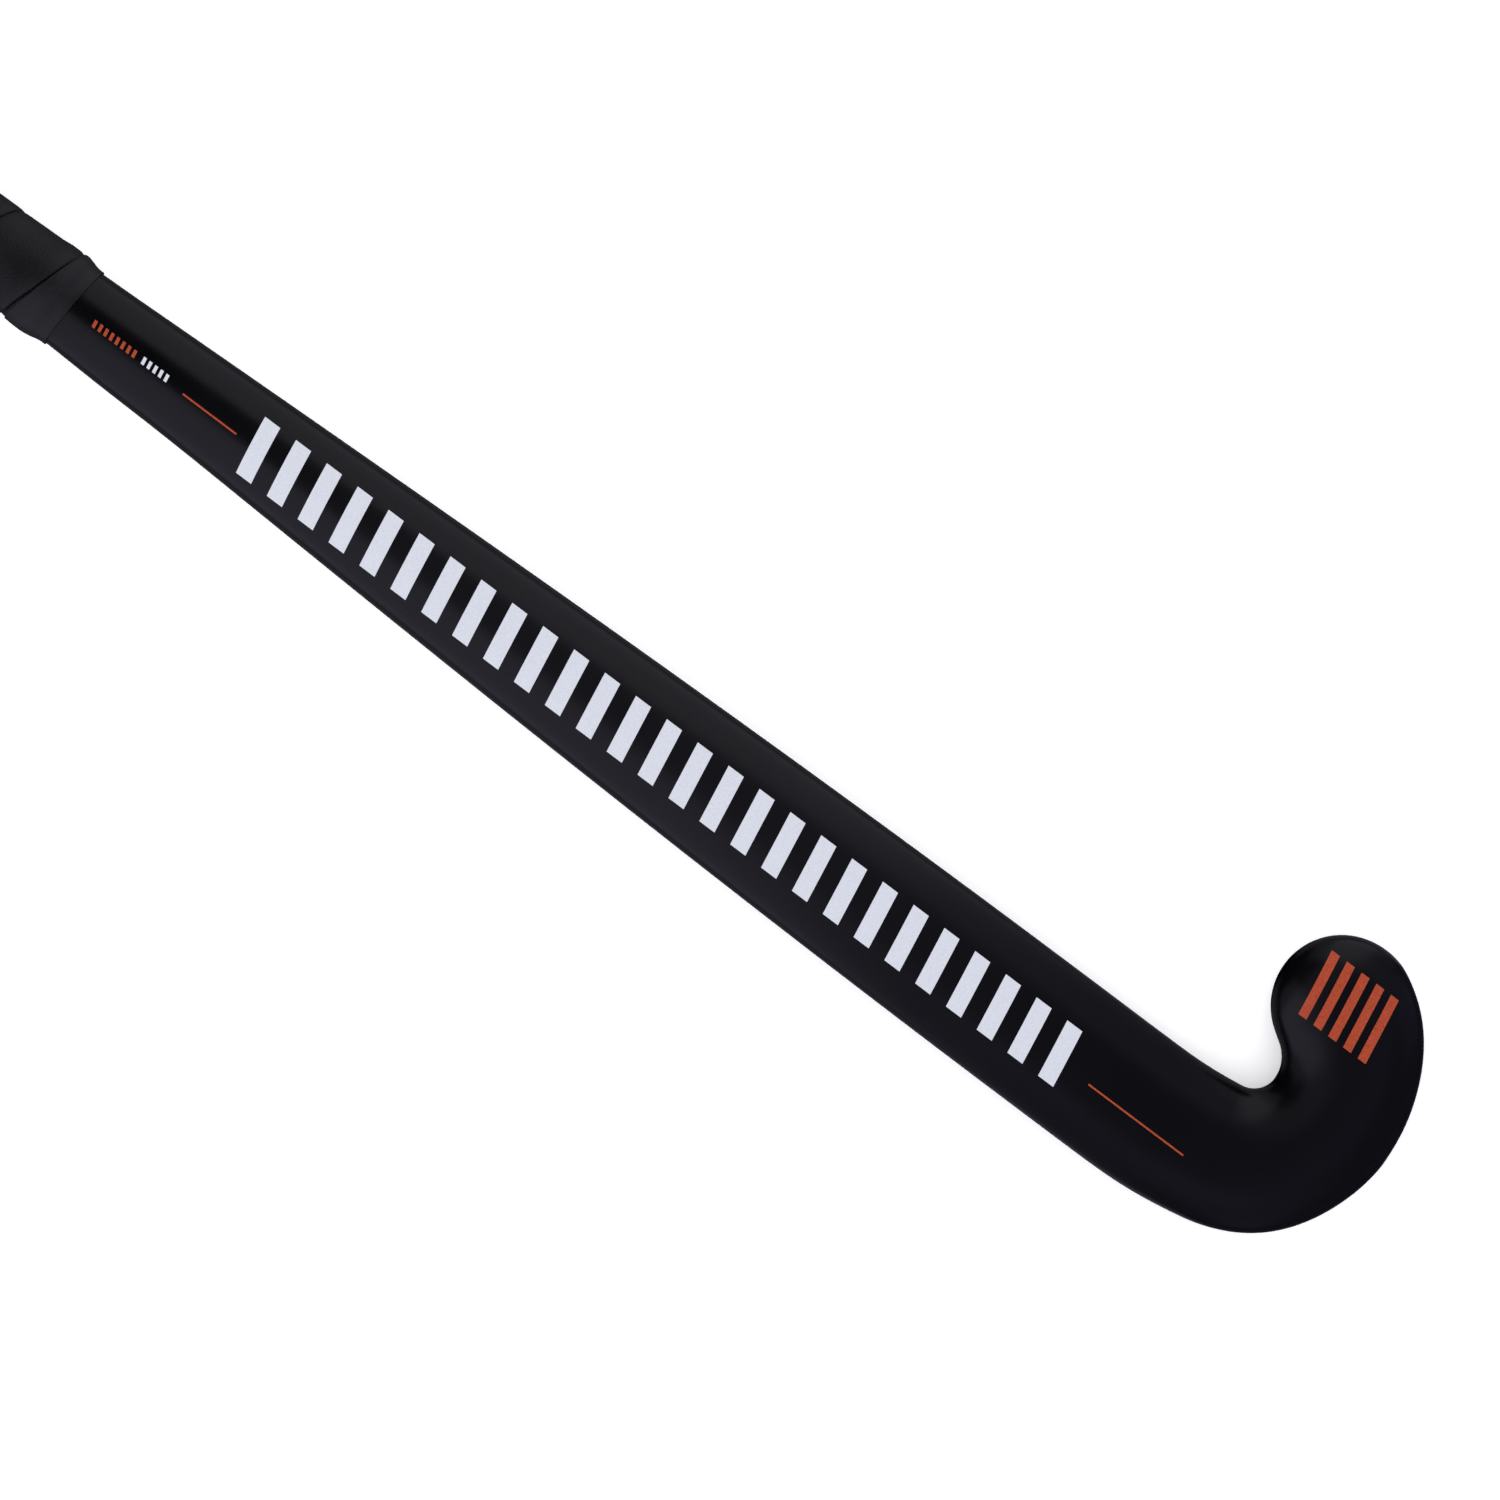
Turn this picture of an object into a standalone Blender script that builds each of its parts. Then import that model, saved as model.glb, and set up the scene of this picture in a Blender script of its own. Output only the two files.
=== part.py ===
"""Indoor hockey stick, lying on its flat playing face. Metres, +Z up.

Every piece is drawn from the butt at x = 0 to the lowest point of the head at x = LENGTH, with
the shaft's centre line on y = 0, the toe towards +Y, the playing face down, the rounded back up
and the ground at z = 0. An empty then carries the whole stick, so that the origin lies on the
ground under the middle of its outline.
"""

import math
from collections import namedtuple

import bmesh
import bpy
from mathutils import Vector
from mathutils.kdtree import KDTree

MM = 0.001

# Overall length, from the end of the butt cap to the lowest point of the head
LENGTH = 864 * MM

# Gap left wherever two pieces touch
GAP = 0.3 * MM

# Handle: an oval with a narrow flat under it, flaring out where it becomes the shaft
HANDLE_WIDTH = 25.8 * MM
HANDLE_THICKNESS = 22.0 * MM
HANDLE_FLAT = 5.0 * MM
FLARE_POWER = 8.0
SHAFT_START = 358 * MM
SHAFT_START_WIDTH = 28.3 * MM

# Shaft: widens to the heel, and its oval turns into a flat face with a rounded back
WIDEST_FROM_HEAD = 108 * MM
HEEL_WIDTH = 48.3 * MM
FLATTEN_LEAD = 30 * MM
FLATTEN_LENGTH = 200 * MM
BACK_POWER = 2.2

# Head: a gentle heel arc, a tight crook and a toe arc that turns back up the shaft
HEAD_THICKNESS = 18.5 * MM
HEEL_RADIUS = 139.6 * MM
HEEL_TURN = math.radians(11.5)
CROOK_RADIUS = 32.1 * MM
TOE_RADIUS = 35.7 * MM
HOOK_TURN = math.radians(153.2)
CROOK_WIDTH = 45.6 * MM
TOE_WIDTH = 46.8 * MM
HEAD_BACK_POWER = 2.9
HEAD_INNER_POWER = 2.1
HEAD_BACK_BLEND = 100 * MM

# Edge between the playing face and the sides
EDGE_WIDTH = 5.0 * MM
EDGE_HEIGHT = 6.5 * MM

# Bow: the shaft curves between a straight handle and a straight head, face on the hollow side
BOW_RADIUS = 3100 * MM
STRAIGHT_HANDLE = 400 * MM
STRAIGHT_HEAD = 85 * MM

# Walls of the moulded shell and of what it holds
LAMINATE = 2.5 * MM
TUBE_WALL = 1.2 * MM
REINFORCEMENT = 1.2 * MM
CORE_FROM_HEAD = 85 * MM
PLUG_LENGTH = 45 * MM

# Butt cap
CAP_FLANGE = 4.0 * MM
CAP_PROUD = 2.0 * MM
CAP_EDGE_RADIUS = 2.2 * MM
CAP_SPIGOT = 12.0 * MM
CAP_SPIGOT_CHAMFER = 1.0 * MM

# Grip: one strip wound from the butt, each turn lying on the skived edge of the next
GRIP_THICKNESS = 1.35 * MM
GRIP_CROWN = 0.15 * MM
GRIP_PITCH = 24.0 * MM
GRIP_SEAM = 0.9 * MM
GRIP_SKIVE = 1.6 * MM
GRIP_FIRST_WIDTH = 3.0 * MM
GRIP_LAST_WIDTH = 3.0 * MM
GRIP_END = 352.5 * MM
GRIP_END_TAPER = 4.5 * MM
GRIP_END_THICKNESS = 0.6 * MM
GRIP_START_POINT = 14

# Finishing tape over the grip's lower end
TAPE_THICKNESS = 0.35 * MM
TAPE_OVERLAP = 8.2 * MM
TAPE_SLANT = 2.3 * MM
TAPE_STEP = 1.2 * MM
TAPE_ON_SHAFT = 4.5 * MM

# Facets: points round half a section, and the spacing of sections along the stick. The crook's
# are fine, because the stick lies on the crook's outer edge and rolls along it to its rest.
EDGE_STEPS = 5
BACK_STEPS = 6
TOE_STEPS = 14
CAP_STEPS = 4
HANDLE_SPACING = 40 * MM
SHAFT_SPACING = 20 * MM
HEEL_SPACING = 10 * MM
CROOK_SPACING = 2 * MM
TOE_SPACING = 7 * MM
LEAST_SPACING = 2 * MM
SHARP_ANGLE = math.radians(40)

RING_POINTS = 2 * (EDGE_STEPS + BACK_STEPS + 1)
BACK_MIDDLE = RING_POINTS // 2

# Where the parts of the stick begin and end along its centre line
HEAD_REACH = (
    HEEL_RADIUS * math.sin(HEEL_TURN)
    + CROOK_RADIUS * (1.0 - math.sin(HEEL_TURN))
    + CROOK_WIDTH / 2
)
STRAIGHT_END = LENGTH - HEAD_REACH
CROOK_START = STRAIGHT_END + HEEL_RADIUS * HEEL_TURN
CROOK_END = CROOK_START + CROOK_RADIUS * (math.pi / 2 - HEEL_TURN)
TOE_CENTRE = CROOK_END + TOE_RADIUS * (HOOK_TURN - math.pi / 2)
HOOK_ARCS = (
    (HEEL_RADIUS, 0.0, HEEL_TURN),
    (CROOK_RADIUS, HEEL_TURN, math.pi / 2),
    (TOE_RADIUS, math.pi / 2, HOOK_TURN),
)
WIDEST = LENGTH - WIDEST_FROM_HEAD
BOW_END = LENGTH - STRAIGHT_HEAD
BOW_LENGTH = BOW_END - STRAIGHT_HANDLE
GROUND_AT_HEAD = LENGTH - EDGE_WIDTH
BOW_DROP = BOW_LENGTH * (BOW_LENGTH / 2 + GROUND_AT_HEAD - BOW_END) / BOW_RADIUS
HANDLE_SLOPE = (BOW_DROP - CAP_PROUD) / GROUND_AT_HEAD
SHELL_START = CAP_FLANGE + GAP
GRIP_START = CAP_FLANGE + GAP
PLUG_START = CAP_FLANGE + CAP_SPIGOT + GAP
TUBE_START = PLUG_START + PLUG_LENGTH + GAP
CORE_START = LENGTH - CORE_FROM_HEAD
CAVITY_FIT = LAMINATE + GAP

Section = namedtuple("Section", "width thickness flat side outer_power inner_power")


def mix(a, b, share):
    return a + (b - a) * share


def smooth(start, end, value):
    """Rise from 0 at start to 1 at end, level at both."""
    share = min(max((value - start) / (end - start), 0.0), 1.0)
    return share * share * (3.0 - 2.0 * share)


def centreline(s):
    """Place and heading of the centre line, s metres along it from the butt."""
    x = min(s, STRAIGHT_END)
    y = 0.0
    heading = 0.0
    beyond = s - STRAIGHT_END
    for radius, start, end in HOOK_ARCS:
        if beyond <= 0.0:
            break
        heading = start + min(beyond / radius, end - start)
        x += radius * (math.sin(heading) - math.sin(start))
        y += radius * (math.cos(start) - math.cos(heading))
        beyond -= radius * (end - start)
    return x, y, heading


def bow(x):
    """Height of the playing face above the ground.

    It rises along the straight handle, curves over along the shaft and runs straight down to
    the edge of the head, so that the stick lies on its cap and on the end of its head.
    """
    curved = min(max(x - STRAIGHT_HANDLE, 0.0), BOW_LENGTH)
    drop = curved * curved / (2 * BOW_RADIUS)
    drop += max(x - BOW_END, 0.0) * BOW_LENGTH / BOW_RADIUS
    return CAP_PROUD + HANDLE_SLOPE * x - drop


def lifted(x, y, height):
    """A point at that height above the playing face."""
    return Vector((x, y, height + bow(x)))


def width_at(s):
    if s < SHAFT_START:
        flare = (max(s, 0.0) / SHAFT_START) ** FLARE_POWER
        return mix(HANDLE_WIDTH, SHAFT_START_WIDTH, flare)
    if s < WIDEST:
        share = (s - SHAFT_START) / (WIDEST - SHAFT_START)
        return mix(SHAFT_START_WIDTH, HEEL_WIDTH, math.sin(share * math.pi / 2))
    heel_to_crook = mix(HEEL_WIDTH, CROOK_WIDTH, smooth(STRAIGHT_END, CROOK_END, s))
    return mix(heel_to_crook, TOE_WIDTH, smooth(CROOK_END, TOE_CENTRE, s))


def section(s):
    """Sizes of the outer section at s: an oval on the handle, a flat-faced D on the head."""
    width = width_at(s)
    thickness = mix(HANDLE_THICKNESS, HEAD_THICKNESS, smooth(SHAFT_START, WIDEST, s))
    flattened = smooth(SHAFT_START - FLATTEN_LEAD, SHAFT_START + FLATTEN_LENGTH, s)
    head = smooth(WIDEST - HEAD_BACK_BLEND, CROOK_START, s)
    shaft_power = mix(2.0, BACK_POWER, flattened)
    return Section(
        width,
        thickness,
        mix(HANDLE_FLAT / 2, width / 2 - EDGE_WIDTH, flattened),
        mix(thickness / 2, EDGE_HEIGHT, flattened),
        mix(shaft_power, HEAD_BACK_POWER, head),
        mix(shaft_power, HEAD_INNER_POWER, head),
    )


def half_profile(s, inset, inner, floor=None):
    """Half of the section at s, drawn in by inset, from mid face round the side to mid back.

    inner is 0 for the side away from the hook's throat and 1 for the side that faces it.
    floor lifts the flat underside higher than the inset does.
    """
    size = section(s)
    bottom = inset if floor is None else floor
    edge_width = size.width / 2 - inset - size.flat
    edge_height = size.side - bottom
    back_height = size.thickness - size.side - inset
    half_width = size.flat + edge_width
    power = 2.0 / mix(size.outer_power, size.inner_power, inner)
    points = [(0.0, bottom), (size.flat, bottom)]
    for step in range(1, EDGE_STEPS + 1):
        angle = math.pi / 2 * step / EDGE_STEPS
        across = size.flat + edge_width * math.sin(angle)
        points.append((across, bottom + edge_height * (1.0 - math.cos(angle))))
    for step in range(1, BACK_STEPS):
        angle = math.pi / 2 * step / BACK_STEPS
        across = half_width * math.cos(angle) ** power
        points.append((across, size.side + back_height * math.sin(angle) ** power))
    points.append((0.0, size.thickness - inset))
    return points


def place(s, across, height):
    """A point across the section at s, positive towards the hook's throat."""
    x, y, heading = centreline(s)
    return lifted(x - across * math.sin(heading), y + across * math.cos(heading), height)


def ring(s, inset, floor=None):
    """The whole section at s: mid face, outer side, mid back, inner side."""
    outer = half_profile(s, inset, 0.0, floor)
    inner = half_profile(s, inset, 1.0, floor)
    points = [place(s, -across, height) for across, height in outer]
    points += [place(s, across, height) for across, height in reversed(inner[1:-1])]
    return points


def spread(start, end, spacing):
    """Even steps from start up to, but not including, end."""
    count = max(1, math.ceil((end - start) / spacing - 1e-6))
    return [mix(start, end, step / count) for step in range(count)]


STATIONS = (
    spread(SHELL_START, SHAFT_START, HANDLE_SPACING)
    + spread(SHAFT_START, STRAIGHT_END, SHAFT_SPACING)
    + spread(STRAIGHT_END, CROOK_START, HEEL_SPACING)
    + spread(CROOK_START, CROOK_END, CROOK_SPACING)
    + spread(CROOK_END, TOE_CENTRE, TOE_SPACING)
    + [TOE_CENTRE]
)


def stations(start, end):
    """The shell's own stations between start and end, with both ends."""
    inside = [s for s in STATIONS if start + LEAST_SPACING < s < end - LEAST_SPACING]
    return [start] + inside + [end]


def add_ring(mesh, points):
    return [mesh.verts.new(point) for point in points]


def bridge(mesh, first, second):
    """Join two closed rings of equally many points."""
    for index, corner in enumerate(first):
        after = (index + 1) % len(first)
        mesh.faces.new((corner, first[after], second[after], second[index]))


def add_loft(mesh, rings):
    """Skin a row of rings and return the first and the last."""
    placed = [add_ring(mesh, points) for points in rings]
    for first, second in zip(placed, placed[1:]):
        bridge(mesh, first, second)
    return placed[0], placed[-1]


def add_toe(mesh, last, inset, floor=None):
    """Sweep the last ring's half section round the toe's centre, from inner to outer side."""
    x, y, heading = centreline(TOE_CENTRE)
    spokes = [[last[0]] + last[:BACK_MIDDLE:-1] + [last[BACK_MIDDLE]]]
    for step in range(1, TOE_STEPS):
        share = step / TOE_STEPS
        direction = heading + math.pi / 2 - math.pi * share
        profile = half_profile(TOE_CENTRE, inset, 1.0 - share, floor)[1:-1]
        rim = [
            lifted(x + across * math.cos(direction), y + across * math.sin(direction), height)
            for across, height in profile
        ]
        spokes.append([last[0]] + add_ring(mesh, rim) + [last[BACK_MIDDLE]])
    spokes.append(last[: BACK_MIDDLE + 1])
    for first, second in zip(spokes, spokes[1:]):
        for low in range(BACK_MIDDLE):
            corners = [first[low], first[low + 1], second[low + 1], second[low]]
            mesh.faces.new(list(dict.fromkeys(corners)))


def finish(name, mesh, material, carrier):
    """Turn the mesh into a named object on the carrier, facing out and shaded smooth."""
    bmesh.ops.recalc_face_normals(mesh, faces=mesh.faces)
    data = bpy.data.meshes.new(name)
    mesh.to_mesh(data)
    mesh.free()
    data.shade_smooth()
    data.set_sharp_from_angle(angle=SHARP_ANGLE)
    data.materials.append(material)
    piece = bpy.data.objects.new(name, data)
    bpy.context.collection.objects.link(piece)
    piece.parent = carrier
    return piece


def make_material(name, colour, roughness):
    material = bpy.data.materials.new(name)
    material.use_nodes = True
    shader = material.node_tree.nodes["Principled BSDF"]
    shader.inputs["Base Color"].default_value = (*colour, 1.0)
    shader.inputs["Roughness"].default_value = roughness
    shader.inputs["Metallic"].default_value = 0.0
    material.diffuse_color = (*colour, 1.0)
    return material


def make_outer_laminate(carrier):
    """The moulded shell: one skin from handle to toe, and a cavity that is open at the butt."""
    mesh = bmesh.new()
    first_out, last_out = add_loft(mesh, [ring(s, 0.0) for s in STATIONS])
    add_toe(mesh, last_out, 0.0)
    first_in, last_in = add_loft(mesh, [ring(s, LAMINATE) for s in STATIONS])
    add_toe(mesh, last_in, LAMINATE)
    bridge(mesh, first_out, first_in)
    lacquer = make_material("lacquered_laminate", (0.006, 0.005, 0.009), 0.22)
    finish("outer_laminate", mesh, lacquer, carrier)


def tube_ring(s, side, inset, web):
    """Every second point of the half section, closed by the flat web beside the centre line."""
    half = half_profile(s, inset, 1.0 if side > 0 else 0.0)
    points = [(web, half[0][1])] + half[1:-1:2] + [(web, half[-1][1])]
    return [place(s, side * across, height) for across, height in points]


def make_inner_tube(name, side, carrier):
    """One of the two tubes inside the shell, open at both ends, with its web on the centre."""
    mesh = bmesh.new()
    along = stations(TUBE_START, CORE_START - GAP)
    web = GAP / 2
    first_out, last_out = add_loft(mesh, [tube_ring(s, side, CAVITY_FIT, web) for s in along])
    bore = CAVITY_FIT + TUBE_WALL
    first_in, last_in = add_loft(mesh, [tube_ring(s, side, bore, web + TUBE_WALL) for s in along])
    bridge(mesh, first_out, first_in)
    bridge(mesh, last_out, last_in)
    finish(name, mesh, make_material(name, (0.03, 0.03, 0.035), 0.5), carrier)


def make_head_core(carrier):
    """Foam that fills the hook, lying on the reinforcement."""
    mesh = bmesh.new()
    floor = CAVITY_FIT + REINFORCEMENT + GAP
    rings = [ring(s, CAVITY_FIT, floor) for s in stations(CORE_START, TOE_CENTRE)]
    first, last = add_loft(mesh, rings)
    mesh.faces.new(first)
    add_toe(mesh, last, CAVITY_FIT, floor)
    finish("head_core", mesh, make_material("core_foam", (0.55, 0.50, 0.38), 0.8), carrier)


def make_head_reinforcement(carrier):
    """Flat stack of plies on the cavity's floor, as wide as the face's flat, round at the toe."""
    mesh = bmesh.new()
    levels = (CAVITY_FIT, CAVITY_FIT + REINFORCEMENT)
    rings = []
    for s in stations(CORE_START, TOE_CENTRE):
        half = section(s).flat
        corners = [(0.0, 0), (-half, 0), (-half, 1), (0.0, 1), (half, 1), (half, 0)]
        rings.append([place(s, across, levels[level]) for across, level in corners])
    first, last = add_loft(mesh, rings)
    mesh.faces.new(first)
    x, y, heading = centreline(TOE_CENTRE)
    radius = section(TOE_CENTRE).flat
    spokes = [[last[0], last[5], last[4], last[3]]]
    for step in range(1, TOE_STEPS):
        direction = heading + math.pi / 2 - math.pi * step / TOE_STEPS
        rim_x = x + radius * math.cos(direction)
        rim_y = y + radius * math.sin(direction)
        low, high = add_ring(mesh, [lifted(rim_x, rim_y, level) for level in levels])
        spokes.append([last[0], low, high, last[3]])
    spokes.append(last[:4])
    for first, second in zip(spokes, spokes[1:]):
        for low in range(3):
            corners = [first[low], first[low + 1], second[low + 1], second[low]]
            mesh.faces.new(list(dict.fromkeys(corners)))
    finish("head_reinforcement", mesh, make_material("aramid", (0.55, 0.38, 0.06), 0.6), carrier)


def make_butt_plug(carrier):
    """Foam block that closes the cavity behind the cap's spigot."""
    mesh = bmesh.new()
    along = stations(PLUG_START, PLUG_START + PLUG_LENGTH)
    first, last = add_loft(mesh, [ring(s, CAVITY_FIT) for s in along])
    mesh.faces.new(first)
    mesh.faces.new(last)
    finish("butt_plug", mesh, make_material("plug_foam", (0.62, 0.55, 0.36), 0.85), carrier)


def make_butt_cap(carrier):
    """Rubber cap: a flange with a rolled edge over the grip's end, and a spigot in the tube."""
    mesh = bmesh.new()
    rim = []
    for step in range(CAP_STEPS + 1):
        angle = math.pi / 2 * step / CAP_STEPS
        back = CAP_EDGE_RADIUS * (1.0 - math.cos(angle))
        drawn_in = CAP_EDGE_RADIUS * (1.0 - math.sin(angle))
        rim.append((back, drawn_in - CAP_PROUD))
    spigot_end = CAP_FLANGE + CAP_SPIGOT
    profile = rim + [
        (CAP_FLANGE, -CAP_PROUD),
        (CAP_FLANGE, CAVITY_FIT),
        (spigot_end - CAP_SPIGOT_CHAMFER, CAVITY_FIT),
        (spigot_end, CAVITY_FIT + CAP_SPIGOT_CHAMFER),
    ]
    first, last = add_loft(mesh, [ring(s, inset) for s, inset in profile])
    mesh.faces.new(first)
    mesh.faces.new(last)
    finish("butt_cap", mesh, make_material("cap_rubber", (0.012, 0.012, 0.012), 0.6), carrier)


def grip_height(s):
    """Height of the grip's outer face above the handle."""
    thin = mix(0.0, GRIP_THICKNESS - GRIP_END_THICKNESS, grip_end_share(s))
    return GAP + GRIP_THICKNESS - thin


def grip_end_share(s):
    return min(max((s - GRIP_END + GRIP_END_TAPER) / GRIP_END_TAPER, 0.0), 1.0)


def turn_shares():
    """Share of a turn that has passed at each point of the handle's ring."""
    points = ring(GRIP_END / 2, -GAP - GRIP_THICKNESS)
    lengths = [(points[k] - points[k - 1]).length for k in range(1, RING_POINTS)]
    whole = sum(lengths) + (points[0] - points[-1]).length
    shares = [0.0]
    for length in lengths:
        shares.append(shares[-1] + length / whole)
    return shares


def grip_section(turns):
    """The strip's section after so many turns, as distances along the handle and heights."""
    edge = GRIP_START + GRIP_FIRST_WIDTH + GRIP_PITCH * turns
    seam = edge - GRIP_PITCH + GRIP_SEAM
    low_start = max(seam, GRIP_START)
    low_end = min(edge, GRIP_END)
    high_start = max(seam + GRIP_SKIVE, GRIP_START)
    high_end = min(edge + GRIP_SKIVE, GRIP_END)
    crown = min((high_start + high_end) / 2, GRIP_END - GRIP_END_TAPER)
    if crown <= high_start:
        crown = (high_start + high_end) / 2
    crown_rise = GRIP_CROWN * (1.0 - grip_end_share(crown))
    return [
        (low_start, GAP),
        (low_end, GAP),
        (high_end, grip_height(high_end)),
        (crown, grip_height(crown) + crown_rise),
        (high_start, grip_height(high_start)),
    ]


def grip_sections():
    """Sections of the whole strip, point by point round the handle, with the turns passed."""
    shares = turn_shares()
    sections = []
    step = GRIP_START_POINT
    while True:
        index = step % RING_POINTS
        turns = step // RING_POINTS + shares[index] - shares[GRIP_START_POINT]
        outline = grip_section(turns)
        if outline[0][0] > GRIP_END - GRIP_LAST_WIDTH:
            return sections
        sections.append((turns, [ring(s, -height)[index] for s, height in outline]))
        step += 1


def least_self_gap(sections):
    """Least distance between points of the strip that are more than half a turn apart."""
    samples = []
    for turns, outline in sections:
        for first, second in zip(outline, outline[1:] + outline[:1]):
            samples += [(turns, first.lerp(second, share / 4)) for share in range(4)]
    tree = KDTree(len(samples))
    for index, (turns, point) in enumerate(samples):
        tree.insert(point, index)
    tree.balance()
    least = GRIP_PITCH
    for turns, point in samples:
        for _, index, distance in tree.find_range(point, 2 * GRIP_SEAM):
            if abs(samples[index][0] - turns) > 0.5:
                least = min(least, distance)
    return least


def make_grip_tape(carrier):
    """The grip, one unbroken strip wound from the butt to the finishing tape."""
    mesh = bmesh.new()
    sections = grip_sections()
    first, last = add_loft(mesh, [outline for turns, outline in sections])
    mesh.faces.new(first)
    mesh.faces.new(last)
    finish("grip_tape", mesh, make_material("grip_foam", (0.035, 0.034, 0.038), 0.75), carrier)
    print(f"grip_tape: {sections[-1][0]:.1f} turns")
    print(f"grip_tape: least gap to itself {least_self_gap(sections) / MM:.2f} mm")


def make_finishing_tape(carrier):
    """Thin band that steps down from the grip's end onto the shaft; its upper edge slants."""
    grip_face = GAP + GRIP_THICKNESS + GRIP_CROWN
    low_end = GAP + GRIP_END_THICKNESS
    inside = [
        (GRIP_END - TAPE_OVERLAP, grip_face + GAP),
        (GRIP_END - GRIP_END_TAPER, grip_face + GAP),
        (GRIP_END, low_end + GAP),
        (GRIP_END + TAPE_STEP, GAP),
        (GRIP_END + TAPE_ON_SHAFT, GAP),
    ]
    outside = [(s, height + TAPE_THICKNESS) for s, height in inside]
    mesh = bmesh.new()
    rings = []
    for number, (s, height) in enumerate(inside + outside[::-1]):
        points = ring(s, -height)
        if number in (0, len(inside) + len(outside) - 1):
            reach = width_at(s) / 2
            points = [p + Vector((TAPE_SLANT * p.y / reach, 0.0, 0.0)) for p in points]
        rings.append(points)
    first, last = add_loft(mesh, rings)
    bridge(mesh, last, first)
    finish("finishing_tape", mesh, make_material("tape_vinyl", (0.02, 0.02, 0.022), 0.5), carrier)


def clear_scene():
    for piece in list(bpy.data.objects):
        bpy.data.objects.remove(piece, do_unlink=True)


def make_carrier():
    """The empty that puts the origin under the middle of the stick's outline."""
    toe_height = centreline(TOE_CENTRE)[1] + TOE_WIDTH / 2
    carrier = bpy.data.objects.new("stick_origin", None)
    bpy.context.collection.objects.link(carrier)
    carrier.location = (-LENGTH / 2, (HEEL_WIDTH / 2 - toe_height) / 2, 0.0)
    return carrier


clear_scene()
stick = make_carrier()
make_outer_laminate(stick)
make_inner_tube("inner_tube_toe_side", 1, stick)
make_inner_tube("inner_tube_heel_side", -1, stick)
make_head_core(stick)
make_head_reinforcement(stick)
make_butt_plug(stick)
make_butt_cap(stick)
make_grip_tape(stick)
make_finishing_tape(stick)
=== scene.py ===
"""Indoor hockey stick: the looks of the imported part. It lies on its playing face, back up."""

import math

import bpy
from mathutils import Euler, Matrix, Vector


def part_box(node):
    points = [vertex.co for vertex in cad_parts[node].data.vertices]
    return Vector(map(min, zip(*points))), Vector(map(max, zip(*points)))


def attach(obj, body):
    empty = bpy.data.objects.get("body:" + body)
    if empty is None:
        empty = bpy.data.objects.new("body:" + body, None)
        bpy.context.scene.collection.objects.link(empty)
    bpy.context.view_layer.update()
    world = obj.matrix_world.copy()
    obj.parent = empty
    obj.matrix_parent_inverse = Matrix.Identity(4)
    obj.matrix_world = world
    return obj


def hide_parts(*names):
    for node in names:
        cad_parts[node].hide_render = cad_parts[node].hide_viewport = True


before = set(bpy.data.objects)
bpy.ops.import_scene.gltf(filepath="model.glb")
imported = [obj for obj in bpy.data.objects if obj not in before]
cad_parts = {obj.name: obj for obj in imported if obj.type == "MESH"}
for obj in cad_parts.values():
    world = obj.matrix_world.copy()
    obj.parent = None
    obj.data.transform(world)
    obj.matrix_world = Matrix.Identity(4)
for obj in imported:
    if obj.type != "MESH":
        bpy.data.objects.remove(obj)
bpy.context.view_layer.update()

MM = 0.001


# The stick's body is one moulded shell of carbon and glass cloth in epoxy, cured in a closed
# mould, rubbed down and sprayed with black lacquer. It runs unbroken from the butt to the toe.
# The rounded back is the side that shows here.
HEEL_WIDTH = 48.3 * MM
SHELL_SUBDIVISIONS = 2
RIM_SHARPNESS = math.radians(50)
QUAD_ANGLE = math.radians(40)
QUAD_SKEW = math.radians(60)
WELD = 0.02 * MM
# Where the real shell is a little fuller than the solid: the toe's and the heel's outer side, and
# the heel side of the handle beside the grip's end. Each place is measured from the head's end on
# the centre line, and its move fades out round it.
TOE_FULLEST = Vector((-18.0 * MM, 81.0 * MM, 8.0 * MM))
TOE_FULLER = (0.95 * MM, 0.75 * MM, 0.0)
HEEL_FULLEST = Vector((-20.0 * MM, -9.0 * MM, 8.0 * MM))
HEEL_FULLER = (0.7 * MM, -0.75 * MM, 0.0)
HEAD_FADE = 34 * MM
HANDLE_FULLEST = (-600.0 * MM, -480.0 * MM)
HANDLE_FULLER = (0.0, -0.8 * MM, 0.0)
HANDLE_FADE = 30 * MM
SHELL_SIDE = 12.3 * MM
# The lacquer's patterns: the patches in which its cast and its polish drift, and its orange peel
CAST_PATCH = 71 * MM
HAZE_PATCH = 17 * MM
PEEL_SIZE = 1.4 * MM

shell_low, shell_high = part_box("outer_laminate")
HEAD_X = shell_high.x
CENTRE_Y = shell_low.y + HEEL_WIDTH / 2


def linear(code):
    """An sRGB hex colour as linear red, green, blue and alpha."""
    parts = [int(code[k : k + 2], 16) / 255 for k in (1, 3, 5)]
    return [p / 12.92 if p <= 0.04045 else ((p + 0.055) / 1.055) ** 2.4 for p in parts] + [1.0]


def add_node(material, kind, settings=None, links=None):
    """Add a node, set its properties and sockets, and link (node, output) pairs to its inputs."""
    tree = material.node_tree
    node = tree.nodes.new(kind)
    for key, value in (settings or {}).items():
        if key in node.inputs:
            node.inputs[key].default_value = value
        else:
            setattr(node, key, value)
    for key, (source, output) in (links or {}).items():
        tree.links.new(source.outputs[output], node.inputs[key])
    return node


def start_material(name, colour, roughness, **sockets):
    """A Principled material, and the Object coordinates that its patterns read."""
    material = bpy.data.materials.new(name)
    material.use_nodes = True
    shader = material.node_tree.nodes["Principled BSDF"]
    shader.inputs["Base Color"].default_value = linear(colour)
    shader.inputs["Roughness"].default_value = roughness
    for key, value in sockets.items():
        shader.inputs[key.replace("_", " ")].default_value = value
    material.diffuse_color = linear(colour)
    place = add_node(material, "ShaderNodeTexCoord")
    return material, shader, place


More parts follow.
